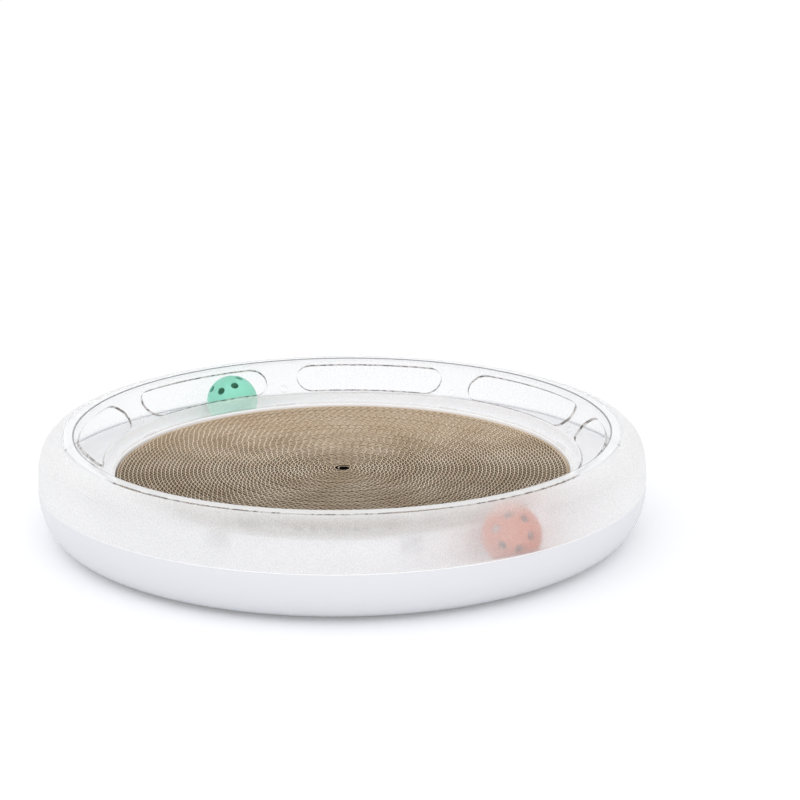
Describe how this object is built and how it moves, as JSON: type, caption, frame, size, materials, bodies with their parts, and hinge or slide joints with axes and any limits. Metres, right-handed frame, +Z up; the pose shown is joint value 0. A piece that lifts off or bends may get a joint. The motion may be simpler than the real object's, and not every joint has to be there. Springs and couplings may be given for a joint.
{
  "type": "cat scratcher with ball track",
  "caption": "Round cat scratcher: wound corrugated pad in a white base, ringed by a clear covered track in which hollow balls roll.",
  "frame": {"origin": "on the surface that the feet stand on, under the centre of the round body", "axes": "+Z up along the centre axis, +X to the right in the picture's view, +Y away from the viewer"},
  "size_m": [0.46, 0.46, 0.0772],
  "materials": {
    "base_plastic": "glossy white moulded plastic",
    "tray_plastic": "glossy white moulded plastic",
    "clear_plastic": "clear moulded plastic",
    "cardboard": "raw corrugated kraft board, flutes on edge",
    "foot_rubber": "matte grey rubber",
    "green_plastic": "satin mint moulded plastic",
    "pink_plastic": "satin coral moulded plastic",
    "bell_metal": "pressed bell, bright",
    "pellet_metal": "steel pellet"
  },
  "bodies": {
    "base": {"base_shell": "base_plastic", "track_tray": "tray_plastic", "foot_1": "foot_rubber", "foot_2": "foot_rubber", "foot_3": "foot_rubber", "foot_4": "foot_rubber", "foot_5": "foot_rubber", "foot_6": "foot_rubber", "foot_7": "foot_rubber", "foot_8": "foot_rubber"},
    "cover": {"track_cover": "clear_plastic"},
    "pad": {"scratch_pad": "cardboard"},
    "green_bell_body": {"green_bell": "bell_metal", "green_bell_pellet": "pellet_metal"},
    "green_ball": {"green_ball_upper": "green_plastic", "green_ball_lower": "green_plastic"},
    "pink_bell_body": {"pink_bell": "bell_metal", "pink_bell_pellet": "pellet_metal"},
    "pink_ball": {"pink_ball_upper": "pink_plastic", "pink_ball_lower": "pink_plastic"}
  },
  "joints": [
    {"name": "cover_lift", "type": "slide", "parent": "base", "child": "cover", "axis": [0, 0, 1], "range_m": [0, 0.1]},
    {"name": "pad_lift", "type": "slide", "parent": "base", "child": "pad", "axis": [0, 0, 1], "range_m": [0, 0.08]},
    {"name": "green_ball_travel", "type": "hinge", "parent": "base", "child": "green_bell_body", "pos_m": [0, 0, 0], "axis": [0, 0, 1], "range_deg": [-78, 78]},
    {"name": "green_ball_roll", "type": "hinge", "parent": "green_bell_body", "child": "green_ball", "pos_m": [-0.0923, 0.18271, 0.0463], "axis": [-0.4509, 0.8926, 0], "range_deg": [-761, 761]},
    {"name": "pink_ball_travel", "type": "hinge", "parent": "base", "child": "pink_bell_body", "pos_m": [0, 0, 0], "axis": [0, 0, 1], "range_deg": [-78, 78]},
    {"name": "pink_ball_roll", "type": "hinge", "parent": "pink_bell_body", "child": "pink_ball", "pos_m": [0.11565, -0.1689, 0.0463], "axis": [0.565, -0.8251, 0], "range_deg": [-761, 761]}
  ],
  "couplings": [
    {"joint": "green_ball_roll", "follows": "green_ball_travel", "ratio": -9.7476},
    {"joint": "pink_ball_roll", "follows": "pink_ball_travel", "ratio": -9.7476}
  ]
}
